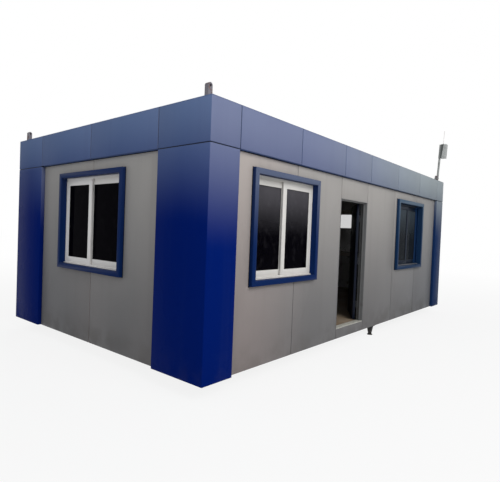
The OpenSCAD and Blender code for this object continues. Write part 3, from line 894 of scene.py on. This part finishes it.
def weep_caps(wall, name):
    """Two drain caps on the face of the weather bar."""
    lo, hi = frame_box(wall, name)
    caps = []
    for share in WEEP_SHARES:
        middle = Vector((lo.x + (hi.x - lo.x) * share, lo.y - BAR_DEPTH, lo.z + WEEP_SIZE.z * WEEP_RISE))
        caps.append(block(middle - WEEP_SIZE / 2, middle + WEEP_SIZE / 2, WALLS[wall], GASKET_ROUND))
    return gather(caps)


def surround_seal(wall, name):
    """A bead of sealant where the boxed surround meets the panels."""
    (lo, hi), = solids_of(name + "_surround", WALLS[wall])
    face = OUTER_PLANE[wall] + PANEL_SETBACK
    edge = SEALANT_WIDTH - GASKET_SUNK
    return ring(
        (lo.x - edge, face - SEALANT_PROUD, lo.z - edge), (hi.x + edge, face, hi.z + edge),
        SEALANT_WIDTH, WALLS[wall], SEALANT_ROUND,
    )


def surround_mitres(wall, name):
    """Hairline joints at the four corners of the boxed surround."""
    (lo, hi), = solids_of(name + "_surround", WALLS[wall])
    lines = []
    for x, z, turn in ((lo.x, lo.z, 45), (hi.x, lo.z, -45), (hi.x, hi.z, -135), (lo.x, hi.z, 135)):
        place = Matrix.Translation((x, lo.y, z)) @ turned(turn, "Y")
        length = MITRE_LENGTH * math.sqrt(2)
        lines.append(block(
            (-MITRE_WIDTH / 2, -MITRE_PROUD, MITRE_WIDTH),
            (MITRE_WIDTH / 2, MITRE_WIDTH, length - MITRE_WIDTH),
            WALLS[wall] @ place, MITRE_PROUD / 2,
        ))
    return gather(lines)


def finish_windows():
    for wall, name in WINDOWS:
        slot = "frame_grey" if name == "window_right" else "window_white"
        add_piece(name + "_gaskets", pane_gaskets(wall, name), "leg_black", GASKET)
        add_piece(name + "_weather_bar", weather_bar(wall, name), slot)
        add_piece(name + "_weep_caps", weep_caps(wall, name), slot)
        add_piece(name + "_sealant", surround_seal(wall, name), "leg_black", MASTIC)
        add_piece(name + "_mitres", surround_mitres(wall, name), "leg_black", MASTIC)


# Small parts of the doorway

OPEN_DEG = 148
PIN = Matrix.Translation((-0.146, -2.03, 0.0))
SHUT_DOOR = PIN @ turned(-OPEN_DEG, "Z") @ PIN.inverted()
TO_ROOM = turned(-90, "X")
TO_OUTSIDE = turned(90, "X")
STOP_FACE = -2.086
SEAL_WIDTH = 0.009
SEAL_DEPTH = 0.0045
SEAL_INSET = 0.011
SEAL_ROUND = 0.002
LINING = 0.008
KEEP_SIZE = Vector((0.0015, 0.024, 0.17))
KEEP_HOLE = Vector((0.0018, 0.011, 0.05))
KEEP_HOLE_DROP = 0.035
KEEP_HOLE_PROUD = 0.0003
KEEP_SCREW_SHARE = 0.4
SCREW_RADIUS = 0.0042
SCREW_HEIGHT = 0.0018
WING_SCREW_IN = 0.012
WING_THICKNESS = 0.004
WING_SPAN = 0.055
KEY_RADIUS = 0.0085
KEY_PROUD = 0.0035
KEY_SIDES = 24
KEY_TAPER = 0.94
KEY_SLOT = Vector((0.0014, 0.0012, 0.009))
KEY_RISE = 0.034
PLATE_HALF = 0.021
PLATE_THICKNESS = 0.006
SWEEP_HEIGHT = 0.03
SWEEP_DEPTH = 0.007
SWEEP_INSET = 0.03
TREAD_RIBS = 7
TREAD_RIB_WIDTH = 0.004
TREAD_RIB_HEIGHT = 0.0016
TREAD_MARGIN = 0.016
THRESHOLD_SCREW_SHARES = (0.06, 0.35, 0.65, 0.94)


def on_face(size, middle, turn, radius):
    """A rounded bar of that size about a point."""
    return block(Vector(middle) - size / 2, Vector(middle) + size / 2, turn, radius)


def doorway_seal():
    """Rubber on the face of the door stops, up both jambs and across the head."""
    lo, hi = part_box("door_frame")
    left = lo[0] + LINING + SEAL_INSET
    right = hi[0] - LINING - SEAL_INSET
    top = hi[2] - LINING - SEAL_INSET
    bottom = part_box("threshold")[1][2]
    half = SEAL_WIDTH / 2
    bars = ((left - half, bottom, left + half, top), (right - half, bottom, right + half, top),
            (left - half, top, right + half, top + SEAL_WIDTH))
    return gather([
        block((x0, STOP_FACE, z0), (x1, STOP_FACE + SEAL_DEPTH, z1), HERE, SEAL_ROUND)
        for x0, z0, x1, z1 in bars
    ])


def latch_keep():
    """A plate let on to the latch jamb, at the height of the lever."""
    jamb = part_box("door_frame")[0][0] + LINING
    leaf_lo, leaf_hi = solids_of("door_leaf", SHUT_DOOR)[0]
    lever_lo, lever_hi = solids_of("door_handles", SHUT_DOOR)[0]
    middle = Vector((jamb + KEEP_SIZE.x / 2, (leaf_lo.y + leaf_hi.y) / 2, (lever_lo.z + lever_hi.z) / 2))
    hole_at = middle + Vector((KEEP_HOLE_PROUD, 0.0, -KEEP_HOLE_DROP))
    places = [
        Matrix.Translation((jamb + KEEP_SIZE.x, middle.y, middle.z + side * KEEP_SIZE.z * KEEP_SCREW_SHARE))
        @ turned(90, "Y") for side in (-1, 1)
    ]
    screws = repeat(stud(SCREW_RADIUS, SCREW_HEIGHT), places)
    plate = gather([on_face(KEEP_SIZE, middle, HERE, KEEP_SIZE.x / 3), screws])
    return plate, on_face(KEEP_HOLE, hole_at, HERE, KEEP_HOLE.x / 3)


def wing_screws(node, turn, side):
    """Two screws through each hinge wing. The wing reaches from the pin to that side."""
    places = []
    for lo, hi in solids_of(node, turn):
        x = hi.x - WING_SCREW_IN if side > 0 else lo.x + WING_SCREW_IN
        for z in (lo.z + WING_SCREW_IN, lo.z + WING_SPAN - WING_SCREW_IN):
            places.append(turn @ Matrix.Translation((x, lo.y + WING_THICKNESS, z)) @ TO_ROOM)
    return repeat(stud(SCREW_RADIUS, SCREW_HEIGHT), places)


def key_cylinders():
    """A keyed cylinder under each lever, and its slot."""
    leaf_lo, leaf_hi = solids_of("door_leaf", SHUT_DOOR)[0]
    lever_lo = solids_of("door_handles", SHUT_DOOR)[0][0]
    x = lever_lo.x + PLATE_HALF
    z = lever_lo.z + KEY_RISE
    barrels = []
    slots = []
    faces = (leaf_lo.y - PLATE_THICKNESS, -1, TO_OUTSIDE), (leaf_hi.y + PLATE_THICKNESS, 1, TO_ROOM)
    for face, way, turn in faces:
        barrel = bmesh.new()
        add_cone(barrel, KEY_SIDES, KEY_RADIUS, KEY_RADIUS * KEY_TAPER, KEY_PROUD)
        round_edges(barrel, KEY_PROUD / 5)
        barrel.transform(SHUT_DOOR @ Matrix.Translation((x, face, z)) @ turn)
        barrels.append(barrel)
        slots.append(on_face(KEY_SLOT, (x, face + way * KEY_PROUD, z), SHUT_DOOR, KEY_SLOT.y / 4))
    return gather(barrels), gather(slots)


def door_sweep():
    """A brush along the foot of the leaf, on its inner face."""
    lo, hi = solids_of("door_leaf", SHUT_DOOR)[0]
    return block(
        (lo.x + SWEEP_INSET, hi.y, lo.z), (hi.x - SWEEP_INSET, hi.y + SWEEP_DEPTH, lo.z + SWEEP_HEIGHT),
        SHUT_DOOR, SEAL_ROUND,
    )


def tread_ribs():
    """Grip ribs along the threshold, and the screws that hold it."""
    lo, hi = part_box("threshold")
    first = lo[1] + TREAD_MARGIN
    step = (hi[1] - lo[1] - 2 * TREAD_MARGIN) / (TREAD_RIBS - 1)
    ribs = []
    for i in range(TREAD_RIBS):
        y = first + i * step
        ribs.append(block(
            (lo[0] + TREAD_MARGIN, y - TREAD_RIB_WIDTH / 2, hi[2] - TREAD_RIB_HEIGHT / 2),
            (hi[0] - TREAD_MARGIN, y + TREAD_RIB_WIDTH / 2, hi[2] + TREAD_RIB_HEIGHT),
            HERE, TREAD_RIB_HEIGHT / 2,
        ))
    middle = first + step * (TREAD_RIBS - 1) / 2 + step / 2
    spots = [
        Matrix.Translation((lo[0] + (hi[0] - lo[0]) * share, middle, hi[2]))
        for share in THRESHOLD_SCREW_SHARES
    ]
    return gather(ribs), repeat(stud(SCREW_RADIUS, SCREW_HEIGHT), spots)


def finish_doorway():
    add_piece("doorway_seal", doorway_seal(), "leg_black", GASKET)
    keep, hole = latch_keep()
    add_piece("latch_keep", keep, "hinge_steel")
    add_piece("latch_keep_hole", hole, "leg_black", GASKET)
    add_piece("hinge_screws_jamb", wing_screws("hinge_pins", HERE, 1), "hinge_steel", ZINC)
    add_piece("hinge_screws_leaf", wing_screws("hinge_knuckles", SHUT_DOOR, -1), "hinge_steel", ZINC, "door")
    barrels, slots = key_cylinders()
    add_piece("key_cylinders", barrels, "hinge_steel", body="door")
    add_piece("key_slots", slots, "leg_black", GASKET, "door")
    add_piece("door_sweep", door_sweep(), "leg_black", GASKET, "door")
    ribs, screws = tread_ribs()
    add_piece("threshold_ribs", ribs, "threshold_metal")
    add_piece("threshold_screws", screws, "hinge_steel", ZINC)


# Roof, coping, posts and legs

ROOF_CROWN = 2.67
CROWN_NEAR = 0.001
CROWN_UP = 0.9
ROOF_SCREW_RADIUS = 0.011
ROOF_SCREW_HEIGHT = 0.011
ROOF_SCREW_ROWS = (-1.85, -0.95, 0.0, 0.95, 1.85)
FLASHING_FOOT = 0.09
FLASHING_RISE = 0.11
FLASHING_SHEET = 0.0018
CLAMP_BAR_HEIGHT = 0.022
CLAMP_BAR_DEPTH = 0.005
CLAMP_BAR_DROP = 0.012
CLAMP_STEP = 0.42
INNER_LENGTH = 3.625
INNER_WIDTH = 2.04
COPING_TOP = 3.01
COPING_MIDDLE = 0.08
RIVET_RADIUS = 0.0055
RIVET_HEIGHT = 0.0032
RIVET_STEP = 0.29
RIVET_ROWS = (1.5, 0.5)
STRAP_HALF = 0.03
STRAP_PROUD = 0.0016
STRAP_LAP = 0.004
POST_FOOT = 3.018
POST_HALF = 0.0285
WELD_SIZE = 0.006
WELD_ROUND = WELD_SIZE * 0.6
BOLT_OUT = 0.0415
BOLT_RADIUS = 0.0065
BOLT_HEIGHT = 0.008
BOLT_SIDES = 12
CLAMP_SCREW_RADIUS = BOLT_RADIUS * 0.8
CLAMP_SCREW_HEIGHT = BOLT_HEIGHT * 0.6
LEG_TOP = 0.16
LEG_PLATE_HALF = 0.062
LEG_PLATE_THICKNESS = 0.007
LEG_COLLAR_RADIUS = 0.046
LEG_COLLAR_HEIGHT = 0.014
LEG_COLLAR_SIDES = 40
LEG_COLLAR_TAPER = 0.9


def roof_screws():
    """Screws with washers along the crowns of the roof sheet."""
    shape = copy_of("roof_panel")
    crowns = {
        round(face.calc_center_median().x, 3) for face in shape.faces
        if face.normal.z > CROWN_UP and abs(face.calc_center_median().z - ROOF_CROWN) < CROWN_NEAR
    }
    shape.free()
    spots = [Matrix.Translation((x, y, ROOF_CROWN)) for x in sorted(crowns) for y in ROOF_SCREW_ROWS]
    return repeat(stud(ROOF_SCREW_RADIUS, ROOF_SCREW_HEIGHT), spots)


def roof_flashing():
    """A folded sheet that runs round the roof and up the inside of the parapet."""
    shape = bmesh.new()
    folds = (
        (INNER_LENGTH, INNER_WIDTH, ROOF_CROWN + FLASHING_RISE),
        (INNER_LENGTH, INNER_WIDTH, ROOF_CROWN),
        (INNER_LENGTH - FLASHING_FOOT, INNER_WIDTH - FLASHING_FOOT, ROOF_CROWN),
    )
    corners = ((-1, -1), (1, -1), (1, 1), (-1, 1))
    loops = [[shape.verts.new((i * x, j * y, z)) for i, j in corners] for x, y, z in folds]
    for upper, lower in zip(loops, loops[1:]):
        for i, j in zip((0, 1, 2, 3), (1, 2, 3, 0)):
            shape.faces.new((upper[i], upper[j], lower[j], lower[i])).normal_update()
    bmesh.ops.solidify(shape, geom=shape.faces[:], thickness=-FLASHING_SHEET)
    bmesh.ops.recalc_face_normals(shape, faces=shape.faces)
    return shape


def clamp_bars():
    """Bars that press the flashing to the parapet, and their screws."""
    bars = []
    screws = []
    top = ROOF_CROWN + FLASHING_RISE - CLAMP_BAR_DROP
    for wall, turn in WALLS.items():
        long_side = WALL_HALF[wall] == HALF_LENGTH
        half, away = (INNER_LENGTH, INNER_WIDTH) if long_side else (INNER_WIDTH, INNER_LENGTH)
        reach = half - 2 * CLAMP_BAR_DEPTH
        face = FLASHING_SHEET - away
        bars.append(block(
            (-reach, face, top - CLAMP_BAR_HEIGHT), (reach, face + CLAMP_BAR_DEPTH, top),
            turn, CLAMP_BAR_DEPTH / 4,
        ))
        count = round(2 * reach / CLAMP_STEP)
        for i in range(count + 1):
            x = -reach + CLAMP_BAR_HEIGHT + (2 * reach - 2 * CLAMP_BAR_HEIGHT) * i / count
            place = Matrix.Translation((x, face + CLAMP_BAR_DEPTH, top - CLAMP_BAR_HEIGHT / 2))
            screws.append(turn @ place @ TO_ROOM)
    return gather(bars), repeat(stud(CLAMP_SCREW_RADIUS, CLAMP_SCREW_HEIGHT), screws)


def coping_rivets():
    """Two staggered rows of rivets along the coping."""
    spots = []
    for wall, turn in WALLS.items():
        reach = WALL_HALF[wall] - 2 * COPING_MIDDLE - RIVET_STEP / 2
        count = round(2 * reach / RIVET_STEP)
        for i in range(count + 1):
            side = COPING_MIDDLE * RIVET_ROWS[i % 2]
            place = Matrix.Translation((-reach + 2 * reach * i / count, OUTER_PLANE[wall] + side, COPING_TOP))
            spots.append(turn @ place)
    return repeat(dome(RIVET_RADIUS, RIVET_HEIGHT), spots)


def coping_straps():
    """Cover straps where two lengths of coping meet, over every second fascia joint."""
    straps = []
    for wall, turn in WALLS.items():
        joints = sorted(hi.x for lo, hi in sheets_on(wall) if lo.z > EAVES_LOW)[:-1]
        for x in joints[1::2]:
            straps.append(block(
                (x - STRAP_HALF, OUTER_PLANE[wall] + STRAP_LAP, COPING_TOP - STRAP_LAP),
                (x + STRAP_HALF, OUTER_PLANE[wall] + 2 * COPING_MIDDLE - STRAP_LAP, COPING_TOP + STRAP_PROUD),
                turn, STRAP_PROUD / 2,
            ))
    return gather(straps)


def middles_of(node):
    """Where each solid of a node stands, in plan."""
    return [((lo.x + hi.x) / 2, (lo.y + hi.y) / 2) for lo, hi in solids_of(node, HERE)]


def post_welds():
    """Weld beads round the feet of the lifting posts."""
    half = POST_HALF + WELD_SIZE
    beads = []
    for x, y in middles_of("lifting_posts"):
        beads.append(block(
            (x - half, y - half, POST_FOOT - WELD_SIZE / 2), (x + half, y + half, POST_FOOT + WELD_SIZE),
            HERE, WELD_ROUND,
        ))
    return gather(beads)


def post_bolts():
    spots = [
        Matrix.Translation((x + i * BOLT_OUT, y + j * BOLT_OUT, POST_FOOT))
        for x, y in middles_of("lifting_posts") for i in (-1, 1) for j in (-1, 1)
    ]
    return repeat(stud(BOLT_RADIUS, BOLT_HEIGHT, BOLT_SIDES), spots)


def leg_plates():
    """Square plates, one at the top of each stub leg."""
    half = LEG_PLATE_HALF
    return gather([
        block((x - half, y - half, LEG_TOP - LEG_PLATE_THICKNESS), (x + half, y + half, LEG_TOP), HERE,
              LEG_PLATE_THICKNESS / 4)
        for x, y in middles_of("support_legs")
    ])


def leg_collars():
    """Turned collars at the feet of the stub legs."""
    collar = bmesh.new()
    top = LEG_COLLAR_RADIUS * LEG_COLLAR_TAPER
    add_cone(collar, LEG_COLLAR_SIDES, LEG_COLLAR_RADIUS, top, LEG_COLLAR_HEIGHT)
    round_edges(collar, LEG_COLLAR_HEIGHT / 5)
    return repeat(collar, [Matrix.Translation((x, y, 0.0)) for x, y in middles_of("support_legs")])


def finish_outside():
    add_piece("roof_screws", roof_screws(), "lifting_steel", ZINC)
    add_piece("roof_flashing", roof_flashing(), "roof_sheet", FLASHING)
    bars, screws = clamp_bars()
    add_piece("flashing_bars", bars, "roof_sheet", FLASHING)
    add_piece("flashing_screws", screws, "lifting_steel", ZINC)
    add_piece("coping_rivets", coping_rivets(), "lifting_steel", ZINC)
    add_piece("coping_straps", coping_straps(), "cladding_blue")
    add_piece("post_welds", post_welds(), "lifting_steel")
    add_piece("post_bolts", post_bolts(), "lifting_steel", ZINC)
    add_piece("leg_plates", leg_plates(), "base_steel")
    add_piece("leg_collars", leg_collars(), "leg_black")


seal_joints()
finish_windows()
finish_doorway()
finish_outside()


# Camera, floor and light

def place_camera():
    camera = bpy.data.cameras.new("camera")
    camera.lens = CAMERA_LENS
    camera.sensor_width = CAMERA_SENSOR
    seat = bpy.data.objects.new("camera", camera)
    seat.matrix_world = (
        Matrix.Translation(CAMERA_PLACE)
        @ turned(-CAMERA_HEADING, "Z")
        @ turned(90 + CAMERA_PITCH, "X")
        @ turned(CAMERA_ROLL, "Z")
    )
    bpy.context.scene.collection.objects.link(seat)
    bpy.context.scene.camera = seat


def seen_rays(owner):
    """1 for rays that show the background to the eye, also through glass and in gloss, in an emptied tree."""
    rays = clear_tree(owner).tree.nodes.new("ShaderNodeLightPath")
    seen = Value(owner, rays.outputs["Is Camera Ray"])
    for name in ("Is Glossy Ray", "Is Transmission Ray"):
        seen = seen.maths("MAXIMUM", seen, Value(owner, rays.outputs[name]))
    return seen


FLOOR_REACH = 60.0
FLOOR_WHITE_NEAR = 0.86
FLOOR_WHITE_FAR = 0.995
FLOOR_FADE = (4.5, 18.0)
FLOOR_MATT = (0.72, 0.72, 0.71, 1.0)
SKY = (0.96, 0.98, 1.0, 1.0)
WHITE = (1.0, 1.0, 1.0, 1.0)
AMBIENT = 0.42


def lay_floor():
    shape = bmesh.new()
    bmesh.ops.create_grid(shape, x_segments=2, y_segments=2, size=FLOOR_REACH)
    mesh = bpy.data.meshes.new("studio_floor")
    shape.to_mesh(mesh)
    shape.free()
    material = bpy.data.materials.new("studio_floor")
    seen = seen_rays(material)
    matt = seen.node("ShaderNodeBsdfDiffuse", None, {"Color": FLOOR_MATT})
    white = seen.node("ShaderNodeEmission", None, {"Color": WHITE, "Strength": 1.0})
    place = seen.node("ShaderNodeTexCoord", output="Object")
    distance = seen.node("ShaderNodeVectorMath", {"operation": "LENGTH"}, {0: place}, "Value")
    share = ease(distance, *FLOOR_FADE, FLOOR_WHITE_NEAR, FLOOR_WHITE_FAR)
    both = seen.node("ShaderNodeMixShader", None, {0: seen * share, 1: matt, 2: white})
    end_tree(both, "ShaderNodeOutputMaterial")
    mesh.materials.append(material)
    floor = bpy.data.objects.new("studio_floor", mesh)
    bpy.context.scene.collection.objects.link(floor)


def light_world():
    world = bpy.data.worlds.new("studio")
    seen = seen_rays(world)
    soft = seen.node("ShaderNodeBackground", None, {"Color": SKY, "Strength": AMBIENT})
    white = seen.node("ShaderNodeBackground", None, {"Color": WHITE, "Strength": 1.0})
    both = seen.node("ShaderNodeMixShader", None, {0: seen, 1: soft, 2: white})
    end_tree(both, "ShaderNodeOutputWorld")
    bpy.context.scene.world = world


# Where each softbox stands, what it faces, its size and power, and its colour where that isn't white
SOFTBOXES = {
    "front_softbox": ((-3.8, -10.2, 7.5), (-1.0, -2.2, 1.6), 6.0, 650.0),
    "end_softbox": ((-10.5, -2.5, 5.5), (-3.8, -0.5, 1.6), 5.0, 84.0, (0.84, 0.93, 1.0)),
    "back_softbox": ((3.0, 11.0, 7.0), (0.0, 2.2, 1.6), 6.0, 420.0),
    "far_softbox": ((12.0, 0.5, 6.0), (3.8, 0.0, 1.6), 5.0, 200.0),
}


def add_softbox(name, place, target, size, power, colour=(1.0, 1.0, 1.0)):
    lamp = bpy.data.lights.new(name, "AREA")
    lamp.shape = "SQUARE"
    lamp.size = size
    lamp.energy = power
    lamp.color = colour
    stand = bpy.data.objects.new(name, lamp)
    stand.location = place
    stand.rotation_euler = (Vector(target) - Vector(place)).to_track_quat("-Z", "Y").to_euler()
    bpy.context.scene.collection.objects.link(stand)


place_camera()
lay_floor()
light_world()
for name, lamp in SOFTBOXES.items():
    add_softbox(name, *lamp)

bpy.context.scene.view_settings.view_transform = "Standard"
